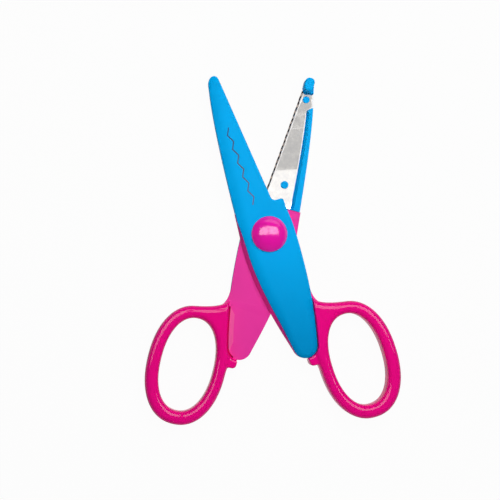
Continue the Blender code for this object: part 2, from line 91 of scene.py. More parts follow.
def raised(material, shader, pattern, height):
    """A pattern that stands out of the surface by a height in metres."""
    bump = add_node(material, "ShaderNodeBump", Strength=1.0, Distance=height)
    wire(material, pattern, bump.inputs["Height"])
    wire(material, bump.outputs["Normal"], shader.inputs["Normal"])


def grain(material, shader, place, scale, height):
    """A fine raised grain."""
    raised(material, shader, clouds(material, place, Scale=scale, Detail=3.0), height)


def uneven_gloss(material, shader, place, scale, detail, low, high):
    """A roughness that changes from spot to spot between low and high."""
    pattern = clouds(material, place, Scale=scale, Detail=detail)
    wire(material, spread(material, pattern, low, high), shader.inputs["Roughness"])


zinc, zinc_shader = new_finish("zinc_plate", (0.66, 0.67, 0.66), 0.32, 1.0)
zinc_place = object_place(zinc)
uneven_gloss(zinc, zinc_shader, zinc_place, scale=900.0, detail=4.0, low=0.24, high=0.42)
grain(zinc, zinc_shader, zinc_place, scale=2500.0, height=0.00001)
for node in ("pivot_rivet", "front_spring_washer", "back_washer"):
    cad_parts[node].data.materials.clear()
    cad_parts[node].data.materials.append(zinc)

# The two blades, stamped from half-millimetre bright steel strip and bent to an L along the cutting edge.
# The free edge of the bent flange is cut to a triangle wave, and the flat is held by two plastic stakes.
# The back blade, whose inner face is seen, has a narrow coined rim.
edge_offset = 5.9
edge_lean = math.radians(6.1)
sheet = 0.5
bend_radius = 0.65
bend_steps = 6
flange_rough = 9.0
coined_width = 0.35
coined_depth = 0.10
edge_break = 0.14
blade_sliver = {"front": 0.022, "back": 0.05}
touching = 0.01
flange_reach = {"front": -0.4, "back": 0.4}
tooth_pitch = 4.9
tooth_height = 1.7
first_tooth = 1.8
parting_gap = 0.15
blade_flat = 1.5
edge_along = Vector((-math.sin(edge_lean), math.cos(edge_lean), 0.0))
edge_normal = Vector((math.cos(edge_lean), math.sin(edge_lean), 0.0))
blade_top = 54.4
fit = 0.2
shoulder_y = 11.2
seam_y = 10.7
lip_y = 48.9
stake_hole = 0.84
rivet_hole = 2.2
eye_radius = 5.4
stake_heights = (52.0, 19.4)
stake_insets = (2.3, 5.5)
parting_height = 4.4
half_open = math.radians(15.6)
to_metres = Matrix.Scale(0.001, 4)
lift = Matrix.Translation((0.0, 0.0, parting_height))
half_place = {
    "front": to_metres @ lift @ Matrix.Rotation(half_open, 4, "Z"),
    "back": to_metres @ lift @ Matrix.Rotation(-half_open, 4, "Z") @ Matrix.Rotation(math.pi, 4, "Y"),
}
tips = {"front": (59.4, 4.5), "back": (57.6, 3.4)}
tip_drop = 1.45
side_bow = {"front": (-0.053, -9.27), "back": (-0.068, -8.9)}
leaf_widest = -10.2


def alone(piece):
    bpy.ops.object.select_all(action="DESELECT")
    piece.select_set(True)
    bpy.context.view_layer.objects.active = piece


def edge_x(y):
    """The cutting edge."""
    return edge_offset / math.cos(edge_lean) - y * math.tan(edge_lean)


stake_spots = [(edge_x(y) - inset, y) for y, inset in zip(stake_heights, stake_insets)]


def drawn(name, loops, low, high, rim=0.0, fineness=10, rim_steps=4):
    """A drawing raised to a solid. Its closed loops are Bezier anchors with their handles, or plain corners."""
    bpy.ops.object.select_all(action="DESELECT")
    bpy.ops.curve.primitive_bezier_curve_add()
    piece = bpy.context.object
    piece.name = name
    drawing = piece.data
    drawing.splines.clear()
    drawing.dimensions = "2D"
    drawing.fill_mode = "BOTH"
    drawing.resolution_u = fineness
    drawing.extrude = (high - low) / 2 - rim
    drawing.bevel_depth = rim
    drawing.offset = -rim
    drawing.bevel_resolution = rim_steps
    for loop in loops:
        if len(loop[0]) == 2:
            spline = drawing.splines.new("POLY")
            spline.points.add(len(loop) - 1)
            for point, (x, y) in zip(spline.points, loop):
                point.co = (x, y, 0.0, 1.0)
        else:
            spline = drawing.splines.new("BEZIER")
            spline.bezier_points.add(len(loop) - 1)
            for point, (x, y, back_x, back_y, on_x, on_y) in zip(spline.bezier_points, loop):
                point.handle_left_type = point.handle_right_type = "FREE"
                point.co = (x, y, 0.0)
                point.handle_left = (x + back_x, y + back_y, 0.0)
                point.handle_right = (x + on_x, y + on_y, 0.0)
        spline.use_cyclic_u = True
    bpy.ops.object.convert(target="MESH")
    piece = bpy.context.object
    piece.data.transform(Matrix.Translation((0.0, 0.0, (low + high) / 2)))
    tidy_mesh(piece)
    return piece


def tidy_mesh(piece):
    """Merge doubles and turn the faces outward."""
    alone(piece)
    bpy.ops.object.mode_set(mode="EDIT")
    bpy.ops.mesh.select_all(action="SELECT")
    bpy.ops.mesh.remove_doubles(threshold=0.0005)
    bpy.ops.mesh.normals_make_consistent(inside=False)
    bpy.ops.object.mode_set(mode="OBJECT")


def clear_slivers(piece, sliver=0.004):
    """Take out the slivers that cutting and joining leave, and close what that opens."""
    alone(piece)
    bpy.ops.object.mode_set(mode="EDIT")
    bpy.ops.mesh.select_mode(type="VERT")
    bpy.ops.mesh.select_all(action="SELECT")
    bpy.ops.mesh.remove_doubles(threshold=sliver)
    bpy.ops.mesh.dissolve_degenerate(threshold=sliver)
    bpy.ops.mesh.select_all(action="SELECT")
    bpy.ops.mesh.fill_holes(sides=0)
    bpy.ops.mesh.select_all(action="SELECT")
    bpy.ops.mesh.delete_loose()
    bpy.ops.object.mode_set(mode="OBJECT")


def finish_with(piece, kind, **settings):
    """Add a modifier and apply it."""
    alone(piece)
    modifier = piece.modifiers.new(kind, kind)
    for name, value in settings.items():
        setattr(modifier, name, value)
    bpy.ops.object.modifier_apply(modifier=modifier.name)


def work(piece, tool, operation, finishes="INDEX"):
    """Cut a tool from a piece or join it on, and throw the tool away."""
    finish_with(piece, "BOOLEAN", operation=operation, solver="EXACT", object=tool, material_mode=finishes)
    bpy.data.objects.remove(tool)


def bar(name, spot, radius, low, high, sides=48):
    bpy.ops.object.select_all(action="DESELECT")
    bpy.ops.mesh.primitive_cylinder_add(vertices=sides, radius=radius, depth=high - low,
                                        location=(spot[0], spot[1], (low + high) / 2))
    bpy.ops.object.transform_apply()
    bpy.context.object.name = name
    return bpy.context.object


def block(name, low, high):
    bpy.ops.object.select_all(action="DESELECT")
    middle = [(a + b) / 2 for a, b in zip(low, high)]
    bpy.ops.mesh.primitive_cube_add(size=1.0, location=middle)
    bpy.context.object.scale = [b - a for a, b in zip(low, high)]
    bpy.ops.object.transform_apply()
    bpy.context.object.name = name
    return bpy.context.object


def ring(spot, radius, steps=40):
    turns = [2 * math.pi * k / steps for k in range(steps)]
    return [(spot[0] + radius * math.cos(turn), spot[1] + radius * math.sin(turn)) for turn in turns]


def side_anchors(half):
    """The outer side of the leaf, as one Bezier from beside the tip to its widest point beside the pivot."""
    tip_y, tip_width = tips[half]
    lead, follow = side_bow[half]
    start = Vector((edge_x(tip_y) - tip_width, tip_y - tip_drop))
    run = start.y
    first_handle = start + Vector((lead * run, -0.26 * run))
    last_handle = Vector((follow, 0.276 * run))
    return start, first_handle, last_handle, Vector((leaf_widest, 0.0))


def side_line(half, inset):
    """The outer side from the tip down, moved inward by an amount that may change with height."""
    points = [Vector(p[:2]) for p in interpolate_bezier(*[v.to_3d() for v in side_anchors(half)], 90)]
    line = []
    for before, here, after in zip(points, points[1:], points[2:]):
        along = (after - before).normalized()
        line.append(here + Vector((-along.y, along.x)) * inset(here.y))
    return line


def cover_wall(y):
    """The cover's outer wall narrows from the seam to the tip."""
    return float(np.interp(y, (shoulder_y, lip_y), (3.35, 2.1)))


def soft_step(y, low, high):
    part = min(max((y - low) / (high - low), 0.0), 1.0)
    return part * part * (3 - 2 * part)


def blade_side(half, clearance):
    """The blade's outer side beside the cover's wall. Near its tip the back one runs out to the leaf's edge."""
    def inset(y):
        step = soft_step(y, lip_y - 0.8, lip_y + 0.8) if half == "back" else 0.0
        return clearance + cover_wall(y) * (1.0 - step)
    return [p for p in side_line(half, inset) if shoulder_y < p.y < blade_top - 0.05]


def tooth_spots():
    """Where the wave turns, as distances along the cutting edge from the pivot's foot, with both ends."""
    foot = edge_offset * math.tan(edge_lean)
    low, high = (y / math.cos(edge_lean) - foot for y in (shoulder_y + first_tooth, blade_top))
    first = math.ceil(math.hypot(low, edge_offset) / (tooth_pitch / 2) + 0.05)
    last = math.floor(math.hypot(high, edge_offset) / (tooth_pitch / 2) - 0.05)
    turns = [math.sqrt((count * tooth_pitch / 2) ** 2 - edge_offset ** 2) for count in range(first, last + 1)]
    return [low] + turns + [high]


def wave(along, sense):
    """The height of the cut edge above the parting plane: a triangle wave of the distance from the pivot."""
    turns = math.hypot(along, edge_offset) / tooth_pitch
    return sense * tooth_height * (abs(2 * (turns - math.floor(turns)) - 1) - 0.5) + parting_gap


def blade_line(half, bend_start):
    """The flat of the blade: the start of the bend, the tip, the outer side and the eye round the rivet."""
    side = blade_side(half, fit)
    turns = [math.pi + math.pi * k / 24 for k in range(25)]
    line = [tuple((edge_along * a + edge_normal * bend_start)[:2]) for a in tooth_spots()]
    line += [(side[0].x, blade_top)] + [(p.x, p.y) for p in side[::2]] + [(side[-1].x, shoulder_y)]
    line += [(eye_radius * math.cos(turn), eye_radius * math.sin(turn)) for turn in turns]
    return line + [(edge_x(shoulder_y) - 1.0, shoulder_y)]


def coin_rim(blade):
    """Press back a narrow rim all round the flat and its holes."""
    rim = len(blade.data.vertices)
    bpy.ops.object.mode_set(mode="EDIT")
    bpy.ops.mesh.select_mode(type="FACE")
    bpy.ops.mesh.select_all(action="SELECT")
    bpy.ops.mesh.inset(thickness=coined_width, use_boundary=True, use_even_offset=False)
    bpy.ops.mesh.select_mode(type="VERT")
    bpy.ops.object.mode_set(mode="OBJECT")
    for vertex in blade.data.vertices[:rim]:
        vertex.co.z += coined_depth


def bend_flange(blade, bend_start, sense):
    """Turn the strip down along the cutting edge, and cut the flange's free edge to the wave."""
    bend_foot = tooth_spots()[0] - touching
    for vertex in blade.data.vertices:
        on_bend = abs(vertex.co.dot(edge_normal) - bend_start) < touching
        vertex.select = on_bend and vertex.co.dot(edge_along) > bend_foot
    for edge in blade.data.edges:
        edge.select = all(blade.data.vertices[v].select for v in edge.vertices)
    for face in blade.data.polygons:
        face.select = False
    bpy.ops.object.mode_set(mode="EDIT")
    bpy.ops.mesh.select_mode(type="EDGE")
    for k in range(bend_steps):
        before, after = (math.radians(90 / bend_steps * step) for step in (k, k + 1))
        out, down = math.sin(after) - math.sin(before), math.cos(after) - math.cos(before)
        move = (edge_normal * out + Vector((0, 0, down))) * bend_radius
        bpy.ops.mesh.extrude_region_move(TRANSFORM_OT_translate={"value": move})
    bpy.ops.mesh.extrude_region_move(TRANSFORM_OT_translate={"value": (0.0, 0.0, -flange_rough)})
    bpy.ops.mesh.select_mode(type="VERT")
    bpy.ops.object.mode_set(mode="OBJECT")
    for vertex in blade.data.vertices:
        if vertex.co.z < -flange_rough / 3:
            vertex.co.z = wave(vertex.co.dot(edge_along), sense)


def make_blade(half, sense):
    """The strip is drawn flat along its middle, bent, cut to the wave and given its gauge."""
    cut = edge_offset + flange_reach[half]
    bend_start = cut - sheet / 2 - bend_radius
    holes = [ring(spot, stake_hole) for spot in stake_spots] + [ring((0.0, 0.0), rivet_hole)]
    middle = blade_flat + sheet / 2
    blade = drawn(half + "_stamped_blade", [blade_line(half, bend_start)] + holes, middle, middle)
    if half == "back":
        coin_rim(blade)
    bend_flange(blade, bend_start, sense)
    tidy_mesh(blade)
    finish_with(blade, "SOLIDIFY", thickness=sheet, offset=0.0)
    finish_with(blade, "BEVEL", width=edge_break, segments=3,
                limit_method="ANGLE", angle_limit=math.radians(50))
    tidy_mesh(blade)
    clear_slivers(blade, blade_sliver[half])
    blade.data.materials.clear()
    blade.data.materials.append(bright_steel)
    blade.data.materials.append(sheared_steel)
    for face in blade.data.polygons:
        on_edge = face.center.dot(edge_normal) > cut - sheet - 0.02
        faces_down = face.normal.z < -0.35
        face.material_index = 1 if on_edge and faces_down else 0
    blade.data.transform(half_place[half])
    alone(blade)
    bpy.ops.object.shade_smooth_by_angle(angle=math.radians(30))
    finish_with(blade, "WEIGHTED_NORMAL", keep_sharp=True)
    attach(blade, half + "_half")
    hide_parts(half + "_blade")


def tint(material, shader, share, low, high):
    """A base colour that runs from low to high as a share runs from 0 to 1."""
    ramp = add_node(material, "ShaderNodeValToRGB")
    ramp.color_ramp.elements[0].color = (*low, 1.0)
    ramp.color_ramp.elements[1].color = (*high, 1.0)
    wire(material, share, ramp.inputs["Fac"])
    wire(material, ramp.outputs["Color"], shader.inputs["Base Color"])
    return ramp.color_ramp


def combined(material, operation, one, two):
    """Two values, each a node's output or a plain number, worked into one."""
    node = add_node(material, "ShaderNodeMath")
    node.operation = operation
    for socket, value in zip(node.inputs, (one, two)):
        if isinstance(value, float):
            socket.default_value = value
        else:
            wire(material, value, socket)
    return node.outputs["Value"]


bright_steel, steel_shader = new_finish("bright_steel", (0.80, 0.79, 0.775), 0.1, 1.0)
rolled = object_place(bright_steel, (5200.0, 160.0, 2400.0), half_open)
roll_lines = clouds(bright_steel, rolled, Scale=1.0, Detail=4.0)
smudge = clouds(bright_steel, object_place(bright_steel), Scale=520.0, Detail=5.0, Roughness=0.65)
smudged = spread(bright_steel, smudge, 0.0, 1.0, start=0.36, end=0.6)
tint(bright_steel, steel_shader, smudged, low=(0.77, 0.765, 0.765), high=(0.84, 0.83, 0.81))
steel_rough = combined(bright_steel, "ADD", spread(bright_steel, roll_lines, 0.05, 0.1),
                       spread(bright_steel, smudge, 0.0, 0.16, start=0.5, end=0.75))
wire(bright_steel, steel_rough, steel_shader.inputs["Roughness"])
raised(bright_steel, steel_shader, roll_lines, 0.000001)

sheared_steel, sheared_shader = new_finish("sheared_steel", (0.10, 0.075, 0.07), 0.45, 1.0)
sheared_place = object_place(sheared_steel)
uneven_gloss(sheared_steel, sheared_shader, sheared_place, scale=2600.0, detail=3.0, low=0.35, high=0.6)
# The cut edge is coloured dark brown, with lighter brown dashes across it.
strokes = add_node(sheared_steel, "ShaderNodeTexWave", Scale=157.0, Distortion=1.5, Detail=1.0)
strokes.bands_direction = "Y"
wire(sheared_steel, sheared_place, strokes.inputs["Vector"])
edge_dashes = spread(sheared_steel, strokes.outputs["Fac"], 0.0, 1.0, start=0.45, end=0.8)
tint(sheared_steel, sheared_shader, edge_dashes, low=(0.05, 0.038, 0.035), high=(0.50, 0.40, 0.34))
make_blade("front", 1)
make_blade("back", -1)

# The two handles, each one pink moulding: a round-edged finger loop that runs through a web into a flat arm
# under the cover, with a small stop at the arm's end. The arm's flat face is satin, and the loop glossy.
loop_middle = (17.7, -53.37)
loop_half = (9.7, 17.1)
loop_squareness = 2.2
hole_shift = (-0.2, 0.3)
ring_width = 4.7
ring_deep = 4.4
ring_round = 2.16
leaf_end = (0.5, -42.7)
leaf_end_radius = 4.5
taper = math.radians(13.9)
arm_out = blade_flat + sheet
edge_slope = 1.05
arm_proud = 0.3
web_root_y = -25.9
arm_root_y = -22.5
peg_spots = ((0.0, -18.0), (0.5, -39.0))
socket_radius = 1.8
socket_floor = 0.6
beyond = 9.0


def oval(grow, start, end, steps):
    """The loop's oval, a little squarer than an ellipse."""
    line = []
    for k in range(steps):
        angle = start + (end - start) * k / steps
        cos, sin = math.cos(angle), math.sin(angle)
        across, up = (math.copysign(abs(part) ** (2 / loop_squareness), part) for part in (cos, sin))
        line.append((loop_middle[0] + (loop_half[0] + grow) * across,
                     loop_middle[1] + (loop_half[1] + grow) * up))
    return line


def leaf_anchors(half):
    """The leaf: tip, outer side, rounded lower end, inner side, shoulder, notch and cutting edge."""
    tip_y = tips[half][0]
    tip_x = edge_x(tip_y) - (0.35 if half == "front" else 0.0)
    start, lead, follow, widest = side_anchors(half)
    reach, drop = leaf_end_radius * math.cos(taper), leaf_end_radius * math.sin(taper)
    run = drop - leaf_end[1]
    down = Vector((math.sin(taper), -math.cos(taper)))
    up = Vector((math.sin(taper), math.cos(taper)))
    bow = 0.46 * leaf_end_radius
    notch = 1.5
    return [
        (tip_x, tip_y, 0.0, 0.0, -0.29, 2.9),
        (*start, 0.29, 3.77, *(lead - start)),
        (*widest, *(follow - widest), -0.02 * run, -0.32 * run),
        (leaf_end[0] - reach, leaf_end[1] - drop, *(down * -0.36 * run), *(down * bow)),
        (leaf_end[0], leaf_end[1] - leaf_end_radius, -bow, 0.0, bow, 0.0),
        (leaf_end[0] + reach, leaf_end[1] - drop, *(up * -bow), *(up * 0.28 * run)),
        (9.5, 0.0, 0.0, -0.40 * run, 0.0, 3.4),
        (8.8, 10.2, 0.0, -3.4, 0.0, 0.55),
        (7.8, shoulder_y, 0.55, 0.0, -0.2, 0.0),
        (edge_x(shoulder_y) + notch, shoulder_y, 0.2, 0.0, -0.55 * notch, 0.0),
        (edge_x(shoulder_y + notch), shoulder_y + notch, 0.06, -0.55 * notch, 0.0, 0.0),
    ]


def leaf_line(half, steps=14):
    """The leaf as plain corners."""
    anchors = leaf_anchors(half)
    line = []
    for one, two in zip(anchors, anchors[1:] + anchors[:1]):
        ends = [Vector((one[0], one[1], 0)), Vector((one[0] + one[4], one[1] + one[5], 0)),
                Vector((two[0] + two[2], two[1] + two[3], 0)), Vector((two[0], two[1], 0))]
        line += [(p.x, p.y) for p in interpolate_bezier(*ends, steps)[:-1]]
    return line


def grown(line, amount):
    """A closed line moved outward, for a clearance round it."""
    points = np.array(line)
    along = np.roll(points, -1, 0) - np.roll(points, 1, 0)
    along /= np.linalg.norm(along, axis=1)[:, None]
    return [tuple(p) for p in points + np.stack([along[:, 1], -along[:, 0]], 1) * amount]


leaf = leaf_line("back")


def leaf_side(sense, below):
    """The leaf's inner side (1) or outer side (-1) below a height, from its lower end up."""
    line = np.array([p for p in leaf if sense * (p[0] - leaf_end[0]) > 0.0 and p[1] < below])
    return line[np.argsort(line[:, 1])]


inner_side = leaf_side(1, 5.0)
outer_side = leaf_side(-1, seam_y + 3.0)


def inner_side_x(y):
    return float(np.interp(y, inner_side[:, 1], inner_side[:, 0]))


def outer_side_x(y):
    return float(np.interp(y, outer_side[:, 1], outer_side[:, 0]))


def shown_edge(y):
    """How much of the arm's sloped outer edge shows past the cover, as a share."""
    return soft_step(-y, -seam_y, 3.0) * (1.0 - soft_step(-y, 29.0, 49.0))


def loop_drawing():
    """The loop's outside and the raised part of its web, up to where the web runs into the arm."""
    line = oval(ring_width, math.radians(80), -math.pi, 120)
    root = Vector((inner_side_x(web_root_y), web_root_y, 0.0))
    handles = root + Vector((0.3, -2.9, 0.0)), Vector((13.0, -30.6, 0.0))
    web = interpolate_bezier(root, *handles, (*line[0], 0.0), 28)
    far = (loop_middle[0] - loop_half[0] - ring_width, loop_middle[1])
    lower = (leaf_end[0] + leaf_end_radius / 2, leaf_end[1])
    return [(p.x, p.y) for p in web[:-1]] + line + [far, lower, (root.x - ring_width, root.y + 0.8)]


def arm_drawing():
    """The arm: the leaf below the seam, with the flat part of the web, which sweeps out to the loop."""
    seam = [p for p in leaf if p[1] < seam_y - 0.3]
    side = min(side_line("back", lambda y: 0.0), key=lambda p: abs(p.y - seam_y))
    first = next(k for k, p in enumerate(seam) if p[0] < 0)
    seam = seam[first:] + seam[:first]
    below = [p for p in seam if p[0] < leaf_end[0] or p[1] < -36.0]
    above = [p for p in seam if p[0] > leaf_end[0] and p[1] > arm_root_y]
    root = Vector((inner_side_x(arm_root_y), arm_root_y, 0.0))
    end = Vector((17.2, -31.9, 0.0))
    handles = end + Vector((-5.2, 1.2, 0.0)), root - Vector((0.0, 7.4, 0.0))
    sweep = interpolate_bezier(end, *handles, root, 20)
    flat = [(8.0, -36.0), (end.x, end.y - 1.2)] + [(p.x, p.y) for p in sweep]
    for k, (x, y) in enumerate(below):
        if x < leaf_end[0]:
            beside_pivot = soft_step(-x, 6.0, 9.5) * (y > -12.0)
            below[k] = (x - arm_proud * max(beside_pivot, shown_edge(y)), y)
    return [(side.x - arm_proud, seam_y)] + below + flat + above + [(7.8, seam_y)]


def leaf_strip(out, past, low, high):
    """A piece of the leaf's inner side between two heights, moved outward."""
    return [p for p in grown(leaf, out) if p[0] > leaf_end[0] + past and low < p[1] < high]


pink, pink_shader = new_finish("pink_gloss", (0.91, 0.001, 0.24), 0.1)
pink_shader.inputs["Specular IOR Level"].default_value = 0.0
pink_shader.inputs["Coat Weight"].default_value = 0.5
pink_shader.inputs["Coat Roughness"].default_value = 0.07
pink_place = object_place(pink)
uneven_gloss(pink, pink_shader, pink_place, scale=160.0, detail=3.0, low=0.07, high=0.12)
grain(pink, pink_shader, pink_place, scale=260.0, height=0.000006)

satin_pink, satin_shader = new_finish("pink_satin", (0.87, 0.04, 0.37), 0.5)
satin_shader.inputs["Specular IOR Level"].default_value = 0.05
satin_place = object_place(satin_pink)
uneven_gloss(satin_pink, satin_shader, satin_place, scale=5200.0, detail=2.0, low=0.42, high=0.6)
grain(satin_pink, satin_shader, satin_place, scale=6500.0, height=0.00003)

# The strip's paler pink is a painted highlight, for the light that its sloped face catches.
strip_highlight_pink, strip_highlight_shader = new_finish("pink_painted_highlight", (0.88, 0.09, 0.37), 0.4)
strip_highlight_shader.inputs["Specular IOR Level"].default_value = 0.06
grain(strip_highlight_pink, strip_highlight_shader, object_place(strip_highlight_pink), scale=3200.0, height=0.00002)

finger_hole = [(x + hole_shift[0], y + hole_shift[1]) for x, y in oval(0.0, 2 * math.pi, 0.0, 120)]
handle = drawn("handle", [loop_drawing(), finger_hole], -ring_deep, ring_deep, ring_round, rim_steps=6)
stop_deep, stop_round = 3.4, 0.6
stop = drawn("stop", [[
    (1.6, -50.6, 0.8, 0.0, -0.8, 0.0), (parting_gap, -49.1, 0.0, -0.8, 0.0, 0.8),
    (parting_gap, -42.7, 0.0, 0.0, 0.0, 0.0), (5.0, -42.7, 0.0, 0.0, 0.0, 0.0),
    (5.0, -51.2, 0.0, 0.0, -0.5, 0.5), (3.4, -50.6, 0.6, 0.0, -0.6, 0.0)]], -stop_deep, stop_deep, stop_round)
work(handle, stop, "UNION")

# The loop's moulding is cleared of the arm's place, softened as one, and joined to the crisp arm.
core_inset, skin_inset, skin = 0.6, 0.05, 0.25
for name, out, low, high in (("cover_room", fit, arm_out, beyond),
                             ("sweep_room", 2 * fit, -beyond, parting_gap),
                             ("arm_core", -core_inset, -beyond, beyond),
                             ("face_room", -skin_inset, -beyond, parting_gap + skin),
                             ("back_room", -skin_inset, arm_out - skin, beyond)):
    work(handle, drawn(name, [grown(leaf, out)], low, high), "DIFFERENCE")
finish_with(handle, "REMESH", mode="VOXEL", voxel_size=0.25)
finish_with(handle, "SMOOTH", factor=0.5, iterations=16)
arm = drawn("arm", [arm_drawing()], parting_gap, arm_out)
finish_with(arm, "BEVEL", width=0.2, segments=2, limit_method="ANGLE", angle_limit=math.radians(60))
for vertex in arm.data.vertices:
    x, y, z = vertex.co
    if y < seam_y and x < min(outer_side_x(y) + 0.5, leaf_end[0]):
        vertex.co.x += edge_slope * shown_edge(y) * (z - parting_gap) / (arm_out - parting_gap)
arm.data.materials.append(satin_pink)
handle.data.materials.append(pink)
work(handle, arm, "UNION", "TRANSFER")

# A strip stands along the arm beside the web, with a groove between the two. It is coloured a lighter pink than
# the arm: a painted highlight for its slope catching the light.
strip_rise, strip_deep, strip_foot = 0.2, 0.7, 0.03
high_strip = leaf_strip(-0.4, 1.5, -45.2, -28.6)
low_strip = leaf_strip(-2.6, 0.0, -43.0, -31.0)
strip = drawn("strip", [high_strip + low_strip[::-1]], parting_gap - strip_rise, parting_gap + strip_deep)
for vertex in strip.data.vertices:
    away = min(math.hypot(vertex.co.x - x, vertex.co.y - y) for x, y in low_strip)
    if vertex.co.z < parting_gap and away < 0.05:
        vertex.co.z = parting_gap + strip_foot
strip.data.materials.append(strip_highlight_pink)
work(handle, strip, "UNION", "TRANSFER")
groove_width, groove_deep, groove_above = 0.62, 1.5, 3.0
near, far = (leaf_strip(out, 1.0, -47.0, -26.6) for out in (-groove_width, 0.0))
groove = drawn("groove", [near + far[::-1]], parting_gap - groove_above, parting_gap + groove_deep)
work(handle, groove, "DIFFERENCE")

work(handle, bar("rivet_hole", (0.0, 0.0), rivet_hole, -beyond, beyond), "DIFFERENCE")
for spot in peg_spots:
    work(handle, bar("socket", spot, socket_radius, socket_floor, beyond), "DIFFERENCE")
eye_room = drawn("eye_room", [grown(blade_line("back", edge_offset), fit)], blade_flat - fit, beyond)
work(handle, eye_room, "DIFFERENCE")
clear_slivers(handle)
alone(handle)
bpy.ops.object.shade_smooth_by_angle(angle=math.radians(38))
for half in ("front", "back"):
    moulding = handle.copy()
    moulding.data = handle.data.copy()
    moulding.name = half + "_finger_handle"
    bpy.context.collection.objects.link(moulding)
    moulding.data.transform(half_place[half])
    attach(moulding, half + "_half")
    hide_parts(half + "_handle")
bpy.data.objects.remove(handle)

# The two covers, blue mouldings shaped as a leaf: each carries its blade in a tray behind an outer wall and
# caps the handle's arm. Stakes hold the blade, pegs go into the arm, and the back one has a post at its tip.
cover_in = 2.2
cover_out = 4.2
edge_radius = 0.6
crown_base = 2.4
crown_drop = 1.45
crown_width = 4.2
end_drop, end_from, end_run = 0.75, -24.0, 23.0
wall_lean = 1.0
cover_tuck = 0.95
recess_radius, recess_floor = 5.6, 2.8
stud_root = 3.0
peg_radius, peg_reach = 1.6, 1.2
stake_radius, stake_foot = 0.8, 1.2
stake_heads, head_low, head_high, head_round = (1.25, 1.4), 0.95, 1.4, 0.3
dimple_radius, dimple_low, dimple_high = 0.45, 0.5, 1.1
post_long, post_wide, post_round = 4.9, 3.5, 1.55
post_low, post_high, post_rim, post_past = 0.6 - cover_out, 3.2, 0.7, 0.8

blue, blue_shader = new_finish("blue_moulding", (0.0, 0.415, 0.90), 0.42)
blue_shader.inputs["Specular IOR Level"].default_value = 0.012
blue_place = object_place(blue)
uneven_gloss(blue, blue_shader, blue_place, scale=220.0, detail=4.0, low=0.36, high=0.5)
grain(blue, blue_shader, blue_place, scale=5200.0, height=0.000012)


def share_up(material, low, high):
    """A share that runs from 0 to 1 between two places along the Y axis."""
    split = add_node(material, "ShaderNodeSeparateXYZ")
    wire(material, object_place(material), split.inputs["Vector"])
    return spread(material, split.outputs["Y"], 0.0, 1.0, low, high)


# The blue is painted darker towards the leaf's lower end: a painted shade for the key light falling off there.
tint(blue, blue_shader, share_up(blue, -0.046, -0.006), low=(0.0, 0.27, 0.60), high=(0.0, 0.415, 0.90))


def crown(cover, half):
    """Let the outer face fall towards the leaf's outer side and lower end."""
    alone(cover)
    bpy.ops.object.mode_set(mode="EDIT")
    for axis, spacing, cuts in (((0.0, 1.0, 0.0), 1.9, range(-26, 34)),
                                ((1.0, 0.0, 0.0), 0.97, range(-11, 11))):
        for k in cuts:
            bpy.ops.mesh.select_all(action="SELECT")
            bpy.ops.mesh.bisect(plane_co=[spacing * k * part for part in axis], plane_no=axis)
    bpy.ops.object.mode_set(mode="OBJECT")
    line = np.array(leaf_line(half, 30))
    outer = line[(line[:, 0] < 1.0) | (line[:, 1] < -30.0)]
    outer = outer[(outer[:, 0] < np.array([edge_x(y) for y in outer[:, 1]]) - 1.6)]
    for vertex in cover.data.vertices:
        x, y, z = vertex.co
        if z > crown_base:
            away = float(np.min(np.hypot(outer[:, 0] - x, outer[:, 1] - y)))
            drop = crown_drop * max(0.0, 1.0 - away / crown_width) ** 2
            drop = max(drop, end_drop * min(max((end_from - y) / end_run, 0.0), 1.0) ** 1.5)
            vertex.co.z = crown_base + (z - crown_base) * (1.0 - drop / (cover_out - crown_base))


def tuck_side(cover):
    """Draw the outer side in below the pivot, where the arm's edge shows past the cover."""
    for vertex in cover.data.vertices:
        if vertex.co.y < seam_y:
            share = (vertex.co.x + 2.0) / min(outer_side_x(vertex.co.y) + 2.0, -1.0)
            vertex.co.x += cover_tuck * shown_edge(vertex.co.y) * min(max(share, 0.0), 1.0)


def slope_wall(cover, half):
    """Lean the tray's side of the outer wall back, so that the wall is narrower at the parting plane."""
    points = side_line(half, cover_wall)
    for vertex in cover.data.vertices:
        if abs(vertex.co.z - parting_gap) < 0.01:
            k = min(range(1, len(points) - 1), key=lambda k: (points[k] - vertex.co.xy).length)
            along = (points[k + 1] - points[k - 1]).normalized()
            across = (vertex.co.xy - points[k]).dot(Vector((-along.y, along.x)))
            if abs(across) < 0.04 and (points[k] - vertex.co.xy).length < 1.0:
                lean = wall_lean * (1.0 - soft_step(vertex.co.y, lip_y - 2.5, lip_y - 0.8))
                vertex.co.xy -= Vector((-along.y, along.x)) * lean


